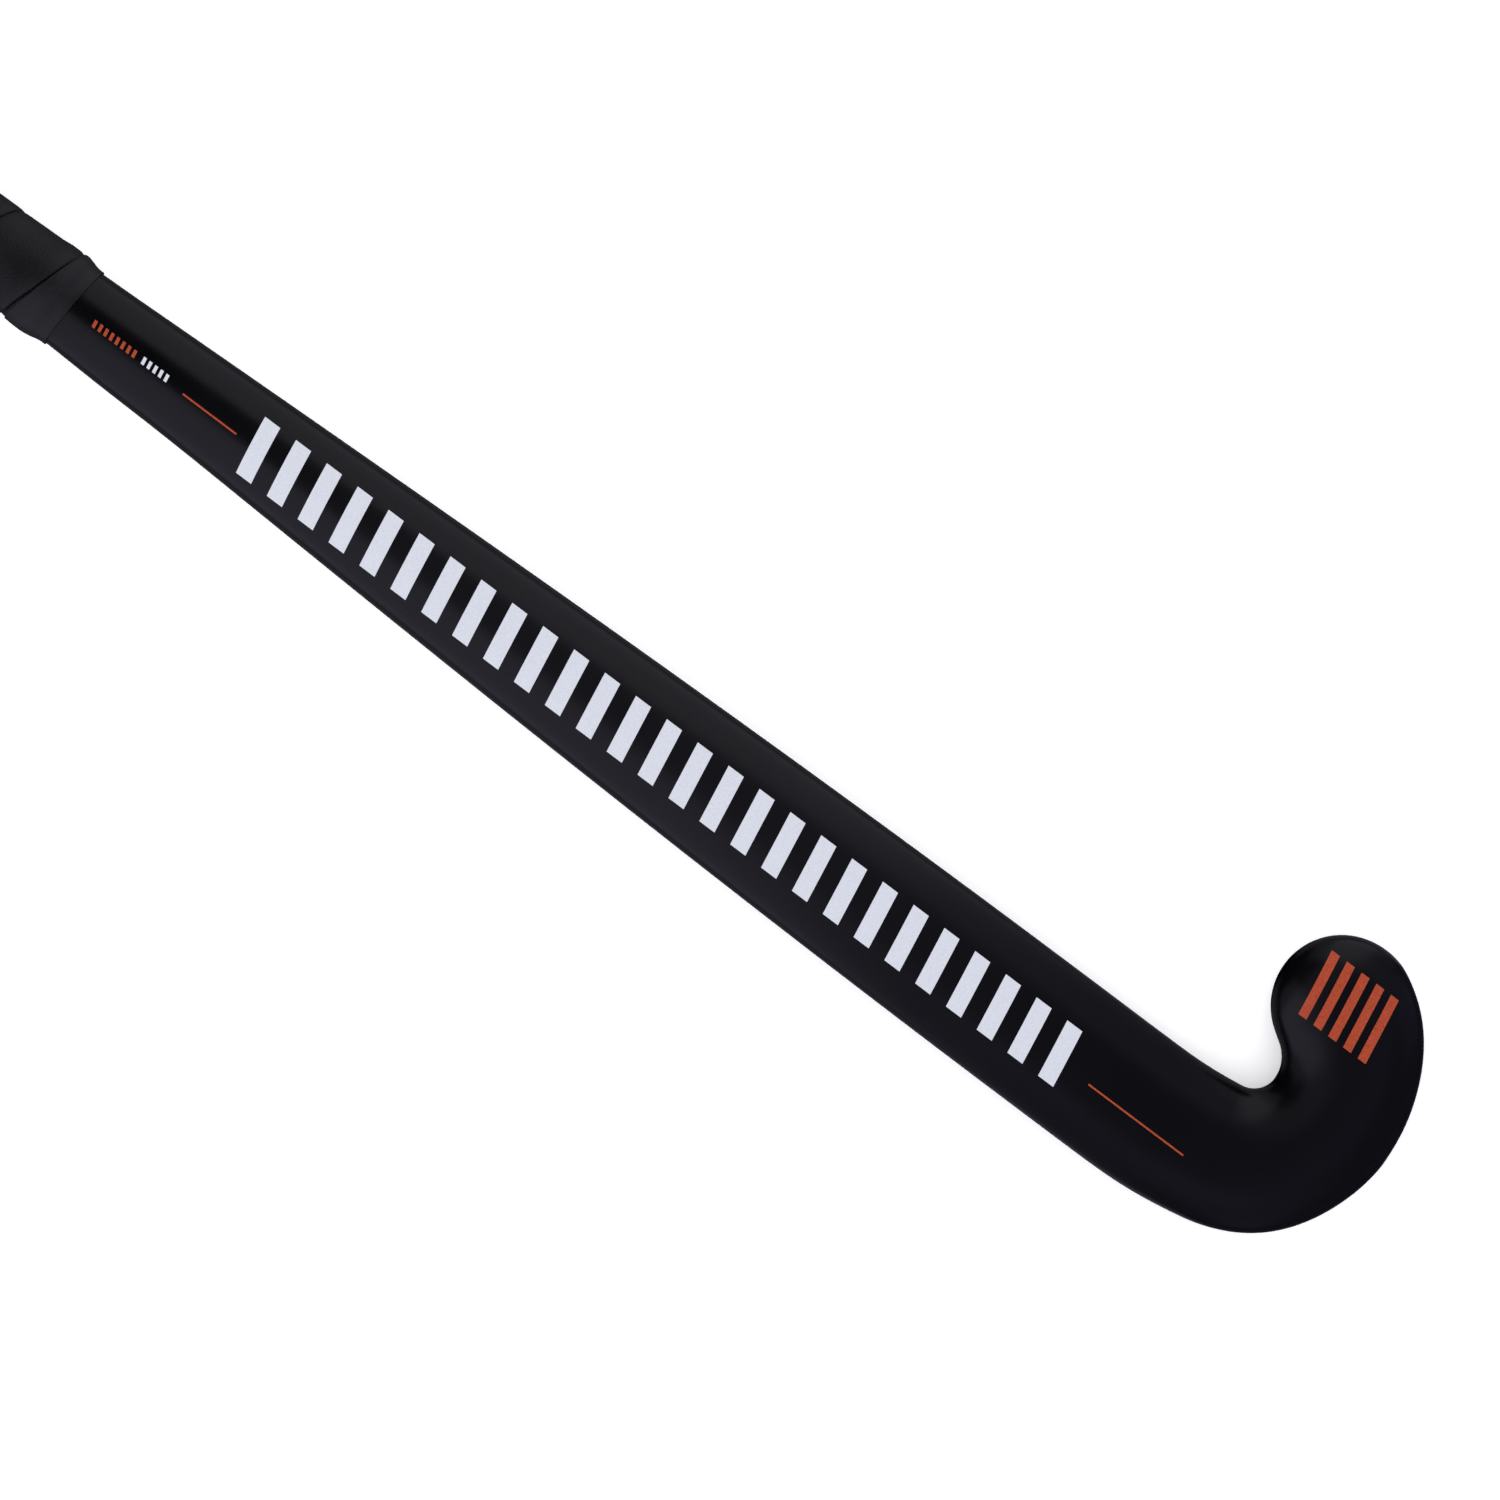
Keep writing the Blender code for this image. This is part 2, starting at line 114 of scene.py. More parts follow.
def pick(*pieces):
    """Select these objects alone."""
    bpy.ops.object.select_all(action="DESELECT")
    for piece in pieces:
        piece.select_set(True)
    bpy.context.view_layer.objects.active = pieces[0]


def select_where(piece, kind, chosen):
    """Enter edit mode with only those vertices or faces selected that pass a test."""
    pick(piece)
    bpy.ops.object.mode_set(mode="EDIT")
    bpy.ops.mesh.select_mode(type=kind)
    bpy.ops.mesh.select_all(action="DESELECT")
    bpy.ops.object.mode_set(mode="OBJECT")
    for part in piece.data.vertices if kind == "VERT" else piece.data.polygons:
        part.select = chosen(part)
    bpy.ops.object.mode_set(mode="EDIT")


def copy_of(node, name):
    """A welded copy of a CAD node's mesh, in quads where its triangles pair up."""
    piece = bpy.data.objects.new(name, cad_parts[node].data.copy())
    bpy.context.scene.collection.objects.link(piece)
    piece.data.materials.clear()
    pick(piece)
    bpy.ops.mesh.customdata_custom_splitnormals_clear()
    bpy.ops.object.mode_set(mode="EDIT")
    bpy.ops.mesh.select_all(action="SELECT")
    bpy.ops.mesh.remove_doubles(threshold=WELD)
    bpy.ops.mesh.tris_convert_to_quads(face_threshold=QUAD_ANGLE, shape_threshold=QUAD_SKEW)
    bpy.ops.object.mode_set(mode="OBJECT")
    return piece


def add_modifier(piece, kind, **settings):
    """Add a modifier and apply it."""
    modifier = piece.modifiers.new(kind, kind)
    for key, value in settings.items():
        setattr(modifier, key, value)
    pick(piece)
    bpy.ops.object.modifier_apply(modifier=modifier.name)


def round_off(piece, levels, sharpness):
    """Subdivide a piece, keeping its edges that are sharper than the angle."""
    pick(piece)
    bpy.ops.object.mode_set(mode="EDIT")
    bpy.ops.mesh.select_mode(type="EDGE")
    bpy.ops.mesh.select_all(action="DESELECT")
    bpy.ops.mesh.edges_select_sharp(sharpness=sharpness)
    bpy.ops.transform.edge_crease(value=1.0)
    bpy.ops.object.mode_set(mode="OBJECT")
    add_modifier(piece, "SUBSURF", levels=levels, render_levels=levels)


def finish_piece(piece, material, slot, *nodes):
    """Shade a piece, hang it on the stick and hide the CAD nodes that it stands for."""
    pick(piece)
    bpy.ops.object.shade_smooth_by_angle(angle=RIM_SHARPNESS)
    piece.data.materials.clear()
    piece.data.materials.append(material)
    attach(piece, "root")
    if nodes:
        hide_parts(*nodes)


def fill_out(piece, chosen, move, fade):
    """Draw the chosen vertices outwards, and those round them less and less."""
    select_where(piece, "VERT", chosen)
    bpy.ops.transform.translate(
        value=move,
        use_proportional_edit=True,
        proportional_edit_falloff="SMOOTH",
        proportional_size=fade,
    )
    bpy.ops.object.mode_set(mode="OBJECT")


def fill_out_at(piece, place, move, fade):
    """Draw a piece outwards round its vertex nearest to a place."""
    there = Vector((HEAD_X, CENTRE_Y, 0.0)) + place
    nearest = min(piece.data.vertices, key=lambda vertex: (vertex.co - there).length).index
    fill_out(piece, lambda vertex: vertex.index == nearest, move, fade)


def fill_out_handle(piece, side):
    """Draw out the heel side of the handle, which is what lies further from its middle than side."""
    low, high = HANDLE_FULLEST
    fill_out(
        piece,
        lambda vertex: low < vertex.co.x - HEAD_X < high and vertex.co.y < CENTRE_Y - side,
        HANDLE_FULLER,
        HANDLE_FADE,
    )


def make_black_lacquer():
    """Two-pack lacquer sprayed over sanded laminate: near black, with a faint violet cast."""
    material, shader, place = start_material("sprayed_black_lacquer", "#050408", 0.27)
    cast = add_node(
        material,
        "ShaderNodeTexNoise",
        {"Scale": 1 / CAST_PATCH, "Detail": 2.0},
        {"Vector": (place, "Object")},
    )
    tint = add_node(material, "ShaderNodeValToRGB", {}, {"Fac": (cast, "Fac")})
    tint.color_ramp.elements[0].position = 0.35
    tint.color_ramp.elements[0].color = linear("#020204")
    tint.color_ramp.elements[1].position = 0.7
    tint.color_ramp.elements[1].color = linear("#050408")
    haze = add_node(
        material,
        "ShaderNodeTexNoise",
        {"Scale": 1 / HAZE_PATCH, "Detail": 3.0},
        {"Vector": (place, "Object")},
    )
    gloss = add_node(
        material, "ShaderNodeMapRange", {"To Min": 0.23, "To Max": 0.31}, {"Value": (haze, "Fac")}
    )
    peel = add_node(
        material,
        "ShaderNodeTexNoise",
        {"Scale": 1 / PEEL_SIZE, "Detail": 1.0},
        {"Vector": (place, "Object")},
    )
    bump = add_node(
        material,
        "ShaderNodeBump",
        {"Strength": 0.06, "Distance": 0.05 * MM},
        {"Height": (peel, "Fac")},
    )
    links = material.node_tree.links
    links.new(tint.outputs["Color"], shader.inputs["Base Color"])
    links.new(gloss.outputs["Result"], shader.inputs["Roughness"])
    links.new(bump.outputs["Normal"], shader.inputs["Normal"])
    return material


shell = copy_of("outer_laminate", "lacquered_shell")
fill_out_at(shell, TOE_FULLEST, TOE_FULLER, HEAD_FADE)
fill_out_at(shell, HEEL_FULLEST, HEEL_FULLER, HEAD_FADE)
fill_out_handle(shell, SHELL_SIDE)
round_off(shell, SHELL_SUBDIVISIONS, RIM_SHARPNESS)
finish_piece(shell, make_black_lacquer(), "lacquered_laminate", "outer_laminate")


# The prints are opaque two-pack ink, screened on the cured black and buried under the last thin
# coat of lacquer: slanted bars and small ticks in white and orange, and two thin orange lines.
# Their places are measured from the head's end on the centre line.
WHITE_INK = "#BEC2C9"
ORANGE_INK = "#963A20"
INK_THICKNESS = 0.05 * MM
INK_REST = 0.04 * MM
# The print screen's mesh is 0.1 mm. That is too fine to show, so it is drawn 0.45 mm coarse.
INK_GRAIN = 0.45 * MM
PRINT_HEIGHT = 60 * MM
BAR_CUTS = 13
BAR_COUNT = 27
BARS_FROM = -429.5 * MM
BAR_PITCH = 12.465 * MM
BAR_WIDE = 6.1 * MM
BAR_Y = -1.25 * MM
BAR_TALL = 20.0 * MM
LEAN = 0.16
LINE_WIDTH = 0.6 * MM
# Each line's middle, along and across the stick, and its length
LINES = ((-450.5 * MM, -1.3 * MM, 21.6 * MM), (-74.4 * MM, -3.7 * MM, 38.6 * MM))
TICKS_FROM = -497.4 * MM
TICK_PITCH = 2.28 * MM
ORANGE_TICKS = 8
WHITE_TICKS = 5
TICK_GAP = 1.6 * MM
TICK_WIDE = 1.15 * MM
TICK_TALL = 2.5 * MM
TICK_Y = -0.4 * MM
TOE_BARS_FROM = -51.1 * MM
TOE_BARS_Y = 67.0 * MM
TOE_BAR_COUNT = 5
TOE_BAR_PITCH = 6.0 * MM
TOE_BAR_WIDE = 3.2 * MM
TOE_BAR_TALL = 23.0 * MM


def make_screen_ink(name, colour, deep, pale):
    """Screen-printed ink under lacquer: dense, with the screen's fine grain in its colour."""
    material, shader, place = start_material(name, colour, 0.3, Specular_IOR_Level=0.25)
    grain = add_node(
        material,
        "ShaderNodeTexNoise",
        {"Scale": 1 / INK_GRAIN, "Detail": 2.0},
        {"Vector": (place, "Object")},
    )
    tint = add_node(material, "ShaderNodeValToRGB", {}, {"Fac": (grain, "Fac")})
    tint.color_ramp.elements[0].position = 0.3
    tint.color_ramp.elements[0].color = linear(deep)
    tint.color_ramp.elements[1].position = 0.6
    tint.color_ramp.elements[1].color = linear(pale)
    bump = add_node(
        material,
        "ShaderNodeBump",
        {"Strength": 0.15, "Distance": 0.02 * MM},
        {"Height": (grain, "Fac")},
    )
    links = material.node_tree.links
    links.new(tint.outputs["Color"], shader.inputs["Base Color"])
    links.new(bump.outputs["Normal"], shader.inputs["Normal"])
    return material


def add_bar(name, x, y, wide, tall, lean):
    """A flat bar of ink above the back, its heel end leaning towards the head."""
    bpy.ops.object.select_all(action="DESELECT")
    bpy.ops.mesh.primitive_plane_add(size=1.0, location=(HEAD_X + x, CENTRE_Y + y, PRINT_HEIGHT))
    bar = bpy.context.object
    bar.name = name
    bar.scale = (wide, tall, 1.0)
    bpy.ops.object.transform_apply(location=True, rotation=True, scale=True)
    select_where(bar, "VERT", lambda vertex: vertex.co.y > CENTRE_Y + y)
    bpy.ops.transform.translate(value=(-lean * tall, 0.0, 0.0))
    bpy.ops.mesh.select_all(action="SELECT")
    bpy.ops.mesh.subdivide(number_cuts=BAR_CUTS)
    bpy.ops.object.mode_set(mode="OBJECT")
    return bar


def repeat_bar(bar, count, pitch):
    """The bar and its copies along the stick, each copy with its own mesh."""
    row = [bar]
    while len(row) < count:
        pick(row[-1])
        bpy.ops.object.duplicate_move(TRANSFORM_OT_translate={"value": (pitch, 0.0, 0.0)})
        row.append(bpy.context.object)
    return row


def lay_ink(bars, material):
    """Join bars into one print, lay it on the lacquered back and give it its thickness."""
    pick(*bars)
    bpy.ops.object.join()
    ink = bars[0]
    add_modifier(
        ink,
        "SHRINKWRAP",
        target=shell,
        wrap_method="PROJECT",
        wrap_mode="ABOVE_SURFACE",
        use_project_z=True,
        use_positive_direction=False,
        use_negative_direction=True,
        offset=INK_REST,
    )
    add_modifier(ink, "SOLIDIFY", thickness=INK_THICKNESS, offset=1.0)
    finish_piece(ink, material, "lacquered_laminate")
    return ink


white_bar = add_bar("white_bars", BARS_FROM, BAR_Y, BAR_WIDE, BAR_TALL, LEAN)
white_from = TICKS_FROM + TICK_PITCH * ORANGE_TICKS + TICK_GAP
white_tick = add_bar("white_tick", white_from, TICK_Y, TICK_WIDE, TICK_TALL, LEAN)
lay_ink(
    repeat_bar(white_bar, BAR_COUNT, BAR_PITCH) + repeat_bar(white_tick, WHITE_TICKS, TICK_PITCH),
    make_screen_ink("screened_white_ink", WHITE_INK, "#B4B7BF", WHITE_INK),
)

toe_bar = add_bar("orange_marks", TOE_BARS_FROM, TOE_BARS_Y, TOE_BAR_WIDE, TOE_BAR_TALL, LEAN)
orange_tick = add_bar("orange_tick", TICKS_FROM, TICK_Y, TICK_WIDE, TICK_TALL, LEAN)
orange_lines = [add_bar("orange_line", x, y, long, LINE_WIDTH, 0.0) for x, y, long in LINES]
lay_ink(
    repeat_bar(toe_bar, TOE_BAR_COUNT, TOE_BAR_PITCH)
    + repeat_bar(orange_tick, ORANGE_TICKS, TICK_PITCH)
    + orange_lines,
    make_screen_ink("screened_orange_ink", ORANGE_INK, "#832E18", "#9F4024"),
)


# The grip is one long strip of soft polyurethane on a felt backing, wound from the butt with the
# strip's own glue. Each turn's lower edge lies on the skived edge of the next turn.
GRIP_COLOUR = "#100F12"
# The pressed skin's pores are 0.2 mm. They are drawn 0.7 mm wide, or they would not show.
GRIP_PORE = 0.7 * MM
STRETCH_MARK = 14 * MM
GRIP_PITCH = 24 * MM
GRIP_TURNS = 18
GRIP_STEPS = 48
# From the butt: where the strip begins and ends, and where its first seam crosses the top
GRIP_FROM = 4.3 * MM
GRIP_TO = 351.8 * MM
GRIP_SEAM_X = 6.0 * MM
# Under the tape the end is pressed thin. Only its outer side gives, which is what stands further
# from the handle than GRIP_OUTSIDE.
GRIP_THINS_FROM = 346.5 * MM
GRIP_THIN = 0.7 * MM
GRIP_OUTSIDE = 0.9 * MM
# The last turn has a little slack, which fades out up the handle
LAST_TURN_X = 343.0 * MM
LAST_TURN_SLACK = 2.6 * MM
LAST_TURN_REACH = 21.0 * MM
# Steps of the winding between which the last turn swells, from none to all and back. Its edge is
# down again before it runs under the tape, and the rest a little later.
SWELL_STEPS = (690, 704, 728, 731)
SWELL_BODY_STEPS = (690, 704, 733, 739)
SWELL_BODY_ENDS = 22.0
# How the handle lies: its climb along the stick, its under side's height at the butt, and the
# height of its middle over that side. The strip is wound on a circle that clears it all round.
HANDLE_SLOPE = 0.03603
HANDLE_RISE = 2.0 * MM
HANDLE_MIDDLE = 11.0 * MM
MANDREL_BEYOND = 60 * MM
WINDING_RADIUS = 16 * MM
BUTT_X = -432 * MM
# The strip's section: distance from the seam along the handle, height above the handle, and how
# much higher the last turn stands there, where it has the strip's doubled end under it
GRIP_SECTION = (
    (-2.4, 0.30, 0.0),
    (20.6, 0.30, 0.0),
    (22.6, 0.85, 0.0),
    (24.4, 0.80, 0.0),
    (24.75, 1.00, 0.45),
    (24.8, 1.35, 0.75),
    (24.5, 1.62, 0.85),
    (23.9, 1.75, 0.85),
    (21.5, 1.80, 0.65),
    (18.5, 1.78, 0.30),
    (15.0, 1.76, 0.0),
    (8.0, 1.66, 0.0),
    (3.0, 1.56, 0.0),
    (1.6, 1.45, 0.0),
    (0.8, 1.15, 0.0),
    (0.1, 0.62, 0.0),
    (-2.4, 0.45, 0.0),
)


def make_soft_polyurethane():
    """Pressed polyurethane skin: near black and matt, with a fine leather-like grain."""
    material, shader, place = start_material("pressed_polyurethane", GRIP_COLOUR, 0.45)
    grain = add_node(
        material,
        "ShaderNodeTexVoronoi",
        {"Scale": 1 / GRIP_PORE, "Randomness": 1.0},
        {"Vector": (place, "Object")},
    )
    hand = add_node(
        material,
        "ShaderNodeTexNoise",
        {"Scale": 1 / STRETCH_MARK, "Detail": 4.0},
        {"Vector": (place, "Object")},
    )
    tint = add_node(material, "ShaderNodeValToRGB", {}, {"Fac": (hand, "Fac")})
    tint.color_ramp.elements[0].position = 0.35
    tint.color_ramp.elements[0].color = linear("#0C0B0E")
    tint.color_ramp.elements[1].position = 0.7
    tint.color_ramp.elements[1].color = linear("#131215")
    gloss = add_node(
        material, "ShaderNodeMapRange", {"To Min": 0.38, "To Max": 0.5}, {"Value": (hand, "Fac")}
    )
    stretch = add_node(
        material,
        "ShaderNodeBump",
        {"Strength": 0.35, "Distance": 0.5 * MM},
        {"Height": (hand, "Fac")},
    )
    bump = add_node(
        material,
        "ShaderNodeBump",
        {"Strength": 0.6, "Distance": 0.15 * MM},
        {"Height": (grain, "Distance"), "Normal": (stretch, "Normal")},
    )
    links = material.node_tree.links
    links.new(tint.outputs["Color"], shader.inputs["Base Color"])
    links.new(gloss.outputs["Result"], shader.inputs["Roughness"])
    links.new(bump.outputs["Normal"], shader.inputs["Normal"])
    return material


def make_mandrel():
    """The handle alone, drawn out past the butt, for the strip to be pressed onto."""
    mandrel = copy_of("outer_laminate", "mandrel")
    low = BUTT_X + GRIP_FROM + WELD
    points = mandrel.data.vertices
    select_where(mandrel, "FACE", lambda face: all(points[v].co.x < low for v in face.vertices))
    bpy.ops.mesh.extrude_region_move(
        TRANSFORM_OT_translate={"value": (-MANDREL_BEYOND, 0.0, -MANDREL_BEYOND * HANDLE_SLOPE)}
    )
    bpy.ops.object.mode_set(mode="OBJECT")
    fill_out_handle(mandrel, SHELL_SIDE)
    round_off(mandrel, SHELL_SUBDIVISIONS, RIM_SHARPNESS)
    return mandrel


def nearest_line(place, section):
    """The number of the section's point that a vertex of the flat section stands for."""
    lines = [Vector((along * MM, 0.0, WINDING_RADIUS + up * MM)) for along, up, _ in section]
    return min(range(len(lines)), key=lambda line: (place - lines[line]).length)


def press_group(strip, group, mandrel, height):
    """Press the group's vertices to one height over the handle, as far as their weights say."""
    add_modifier(
        strip,
        "SHRINKWRAP",
        target=mandrel,
        wrap_method="NEAREST_SURFACEPOINT",
        wrap_mode="ON_SURFACE",
        offset=height,
        vertex_group=group.name,
    )


def swell_share(step, along):
    """How much of the last turn's swelling a step of the winding has, from 0 to 1."""
    begins, full, falls, ends = SWELL_BODY_STEPS if along < SWELL_BODY_ENDS else SWELL_STEPS
    rising = (step - begins) / (full - begins)
    falling = (ends - step) / (ends - falls)
    return max(0.0, min(1.0, rising, falling))


def wind_strip(name, section, start, pitch, turns, mandrel):
    """Wind a strip of this section round the handle and press each of its lines to its height."""
    tilt = math.atan(HANDLE_SLOPE)
    middle = HANDLE_RISE + HANDLE_MIDDLE + HANDLE_SLOPE * start
    bpy.ops.object.select_all(action="DESELECT")
    bpy.ops.mesh.primitive_plane_add(
        size=MM, location=(BUTT_X + start, CENTRE_Y, middle), rotation=(0.0, -tilt, 0.0)
    )
    strip = bpy.context.object
    strip.name = name
    bpy.ops.object.mode_set(mode="EDIT")
    bpy.ops.mesh.select_mode(type="VERT")
    bpy.ops.mesh.merge(type="CENTER")
    turned = Euler((0.0, -tilt, 0.0)).to_matrix()
    reach = Vector((section[0][0] * MM, 0.0, WINDING_RADIUS + section[0][1] * MM))
    bpy.ops.transform.translate(value=turned @ reach)
    for here, after in zip(section, section[1:]):
        step = Vector(((after[0] - here[0]) * MM, 0.0, (after[1] - here[1]) * MM))
        bpy.ops.mesh.extrude_region_move(TRANSFORM_OT_translate={"value": turned @ step})
    first, last = section[0], section[-1]
    back = Vector(((first[0] - last[0]) * MM, 0.0, (first[1] - last[1]) * MM))
    bpy.ops.mesh.extrude_region_move(TRANSFORM_OT_translate={"value": turned @ back})
    bpy.ops.mesh.select_all(action="SELECT")
    bpy.ops.mesh.remove_doubles(threshold=WELD)
    bpy.ops.object.mode_set(mode="OBJECT")
    count = len(strip.data.vertices)
    line_of = [nearest_line(vertex.co, section) for vertex in strip.data.vertices]
    add_modifier(
        strip,
        "SCREW",
        axis="X",
        angle=-2 * math.pi,
        screw_offset=pitch,
        iterations=turns,
        steps=GRIP_STEPS,
        render_steps=GRIP_STEPS,
        use_normal_calculate=True,
    )
    bpy.ops.object.transform_apply(location=True, rotation=True, scale=True)
    for line, (_, height, _) in enumerate(section):
        group = strip.vertex_groups.new(name=f"line_{line}")
        first = line_of.index(line)
        group.add(list(range(first, len(strip.data.vertices), count)), 1.0, "REPLACE")
        press_group(strip, group, mandrel, height * MM)
    for line, (along, height, swell) in enumerate(section):
        if swell:
            group = strip.vertex_groups[f"line_{line}"]
            run = range(line_of.index(line), len(strip.data.vertices), count)
            for step, vertex in enumerate(run):
                group.add([vertex], swell_share(step, along), "REPLACE")
            press_group(strip, group, mandrel, (height + swell) * MM)
    strip.vertex_groups.clear()
    return strip


def cut_off(piece, x, outward):
    """Cut a piece square across the handle, drop what lies outward and close the cut."""
    pick(piece)
    bpy.ops.object.mode_set(mode="EDIT")
    bpy.ops.mesh.select_all(action="SELECT")
    bpy.ops.mesh.bisect(
        plane_co=(BUTT_X + x, 0.0, 0.0),
        plane_no=(outward, 0.0, 0.0),
        clear_outer=True,
        use_fill=True,
    )
    bpy.ops.object.mode_set(mode="OBJECT")


def face_out(piece):
    """Drop the loose edges that a cut leaves and turn every face outwards."""
    pick(piece)
    bpy.ops.object.mode_set(mode="EDIT")
    bpy.ops.mesh.select_all(action="SELECT")
    bpy.ops.mesh.delete_loose()
    bpy.ops.mesh.select_all(action="SELECT")
    bpy.ops.mesh.normals_make_consistent(inside=False)
    bpy.ops.object.mode_set(mode="OBJECT")


mandrel = make_mandrel()
grip = wind_strip(
    "wound_grip", GRIP_SECTION, GRIP_SEAM_X - 2 * GRIP_PITCH, GRIP_PITCH, GRIP_TURNS, mandrel
)
select_where(grip, "VERT", lambda vertex: vertex.co.x > BUTT_X + LAST_TURN_X)
bpy.ops.transform.translate(
    value=(LAST_TURN_SLACK, 0.0, LAST_TURN_SLACK * HANDLE_SLOPE),
    use_proportional_edit=True,
    proportional_edit_falloff="LINEAR",
    proportional_size=LAST_TURN_REACH,
)
bpy.ops.object.mode_set(mode="OBJECT")
cut_off(grip, GRIP_FROM, -1.0)
cut_off(grip, GRIP_TO, 1.0)
thinned = grip.vertex_groups.new(name="thinned_end")
for vertex in grip.data.vertices:
    share = (vertex.co.x - BUTT_X - GRIP_THINS_FROM) / (GRIP_TO - GRIP_THINS_FROM)
    _, handle, _, _ = mandrel.closest_point_on_mesh(vertex.co)
    if share > 0.0 and (vertex.co - handle).length > GRIP_OUTSIDE:
        thinned.add([vertex.index], min(share, 1.0), "REPLACE")
press_group(grip, thinned, mandrel, GRIP_THIN)
grip.vertex_groups.clear()
bpy.data.objects.remove(mandrel)
face_out(grip)
finish_piece(grip, make_soft_polyurethane(), "grip_polyurethane", "grip_tape")


# The finishing tape is stretched black vinyl, wound about twice round the grip's lower end and
# the shaft. It closes over the step, and its second turn stops short of the first.
TAPE_ROUNDING = 2
WRINKLE_SIZE = 2.4 * MM
# The band's rings in the solid: lowest and highest place, how far each moves along the handle to
# lie as the real tape does, and how many degrees it turns there
TAPE_RINGS = (
    (340.0 * MM, 347.3 * MM, 0.75 * MM, 6.0),
    (347.3 * MM, 349.0 * MM, 1.0 * MM, 5.5),
    (352.0 * MM, 353.0 * MM, -0.6 * MM, 4.0),
    (353.0 * MM, 355.0 * MM, 1.0 * MM, 3.0),
    (356.0 * MM, 358.0 * MM, 0.0, 3.0),
)
SECOND_TURN_RING = 2
SECOND_TURN_RISE = 0.07 * MM
OUTSIDE_FACING = 0.3
TAPE_SIDE = 13.0 * MM


def make_stretched_vinyl():
    """Stretched vinyl tape: satin, with fine wrinkles where it closes over the step."""
    material, shader, place = start_material("stretched_vinyl_tape", "#121115", 0.45)
    wrinkle = add_node(
        material,
        "ShaderNodeTexNoise",
        {"Scale": 1 / WRINKLE_SIZE, "Detail": 3.0},
        {"Vector": (place, "Object")},
    )
    gloss = add_node(
        material, "ShaderNodeMapRange", {"To Min": 0.36, "To Max": 0.52}, {"Value": (wrinkle, "Fac")}
    )
    tint = add_node(material, "ShaderNodeValToRGB", {}, {"Fac": (wrinkle, "Fac")})
    tint.color_ramp.elements[0].color = linear("#0E0D11")
    tint.color_ramp.elements[1].color = linear("#17161A")
    bump = add_node(
        material,
        "ShaderNodeBump",
        {"Strength": 0.4, "Distance": 0.25 * MM},
        {"Height": (wrinkle, "Fac")},
    )
    links = material.node_tree.links
    links.new(tint.outputs["Color"], shader.inputs["Base Color"])
    links.new(gloss.outputs["Result"], shader.inputs["Roughness"])
    links.new(bump.outputs["Normal"], shader.inputs["Normal"])
    return material


tape = copy_of("finishing_tape", "finishing_tape_band")
rings = [
    {vertex.index for vertex in tape.data.vertices if low < vertex.co.x - BUTT_X < high}
    for low, high, _, _ in TAPE_RINGS
]
for ring, (low, high, shift, turn) in zip(rings, TAPE_RINGS):
    places = [tape.data.vertices[index].co for index in ring]
    middle = Vector((sum(place.x for place in places) / len(places), CENTRE_Y, 0.0))
    select_where(tape, "VERT", lambda vertex: vertex.index in ring)
    bpy.ops.transform.rotate(value=math.radians(turn), orient_axis="Z", center_override=middle)
    bpy.ops.transform.translate(value=(shift, 0.0, shift * HANDLE_SLOPE))
    bpy.ops.object.mode_set(mode="OBJECT")


def on_second_turn(face):
    """Whether a face is on the tape's outside, from the second turn's edge to the band's end."""
    level = HANDLE_RISE + HANDLE_MIDDLE + HANDLE_SLOPE * (face.center.x - BUTT_X)
    outward = Vector((0.0, face.center.y - CENTRE_Y, face.center.z - level)).normalized()
    second_turn = set().union(*rings[SECOND_TURN_RING:])
    return face.normal.dot(outward) > OUTSIDE_FACING and second_turn.issuperset(face.vertices)


select_where(tape, "FACE", on_second_turn)
bpy.ops.mesh.extrude_region_shrink_fatten(TRANSFORM_OT_shrink_fatten={"value": SECOND_TURN_RISE})
bpy.ops.object.mode_set(mode="OBJECT")
fill_out_handle(tape, TAPE_SIDE)
round_off(tape, TAPE_ROUNDING, RIM_SHARPNESS)
finish_piece(tape, make_stretched_vinyl(), "tape_vinyl", "finishing_tape")


# The butt cap is moulded in black rubber: a flange with a rolled edge over the grip's end, and a
# spigot that is glued into the handle. A shallow moulded ring marks its end.
CAP_ROUNDING = 2
CAP_SHARPNESS = math.radians(75)
END_FACING = -0.99
RING_OUT = 4.2 * MM
RING_WIDE = 1.1 * MM
RING_DEEP = 0.6 * MM
# The mould's spark-eroded grit is 0.05 mm. It is drawn 0.67 mm coarse, or it would not show.
RUBBER_GRIT = 0.67 * MM
BLOOM_PATCH = 11 * MM


def make_moulded_rubber():
    """Moulded rubber: dull black, with the fine spark-eroded texture of its mould."""
    material, shader, place = start_material("moulded_rubber", "#0B0B0C", 0.62)
    grit = add_node(
        material,
        "ShaderNodeTexNoise",
        {"Scale": 1 / RUBBER_GRIT, "Detail": 2.0},
        {"Vector": (place, "Object")},
    )
    bloom = add_node(
        material,
        "ShaderNodeTexNoise",
        {"Scale": 1 / BLOOM_PATCH, "Detail": 3.0},
        {"Vector": (place, "Object")},
    )
    tint = add_node(material, "ShaderNodeValToRGB", {}, {"Fac": (bloom, "Fac")})
    tint.color_ramp.elements[0].color = linear("#080809")
    tint.color_ramp.elements[1].color = linear("#121213")
    gloss = add_node(
        material, "ShaderNodeMapRange", {"To Min": 0.54, "To Max": 0.7}, {"Value": (bloom, "Fac")}
    )
    bump = add_node(
        material,
        "ShaderNodeBump",
        {"Strength": 0.3, "Distance": 0.06 * MM},
        {"Height": (grit, "Fac")},
    )
    links = material.node_tree.links
    links.new(tint.outputs["Color"], shader.inputs["Base Color"])
    links.new(gloss.outputs["Result"], shader.inputs["Roughness"])
    links.new(bump.outputs["Normal"], shader.inputs["Normal"])
    return material


